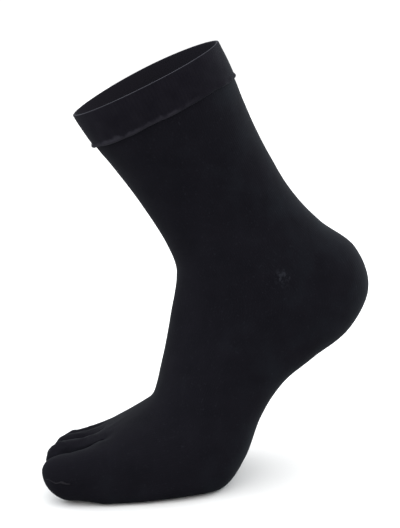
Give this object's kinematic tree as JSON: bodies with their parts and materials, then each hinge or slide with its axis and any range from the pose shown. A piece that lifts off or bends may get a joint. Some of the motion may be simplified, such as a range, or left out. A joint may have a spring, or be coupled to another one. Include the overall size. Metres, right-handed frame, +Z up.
{
  "type": "toe sock",
  "caption": "Crew-height toe sock with a separate pocket for each toe and a doubled elastic cuff, hollow, in its worn form on tiptoe.",
  "frame": {"origin": "in the leg's axis at the middle of the cuff, where the wearer's leg holds the sock up", "axes": "+Z is up, the toes point towards -X, and the inner side of the foot, with the big toe, faces -Y"},
  "size_m": [0.2176, 0.0969, 0.2804],
  "materials": {
    "knit": "black fine-gauge jersey knit of cotton and nylon, matt with a faint fuzz",
    "welt": "black doubled elastic welt, matt"
  },
  "bodies": {
    "root": {"cuff": "welt", "leg": "knit", "heel": "knit", "foot": "knit", "toe_big": "knit", "toe_second": "knit", "toe_third": "knit", "toe_fourth": "knit", "toe_little": "knit"}
  },
  "joints": []
}
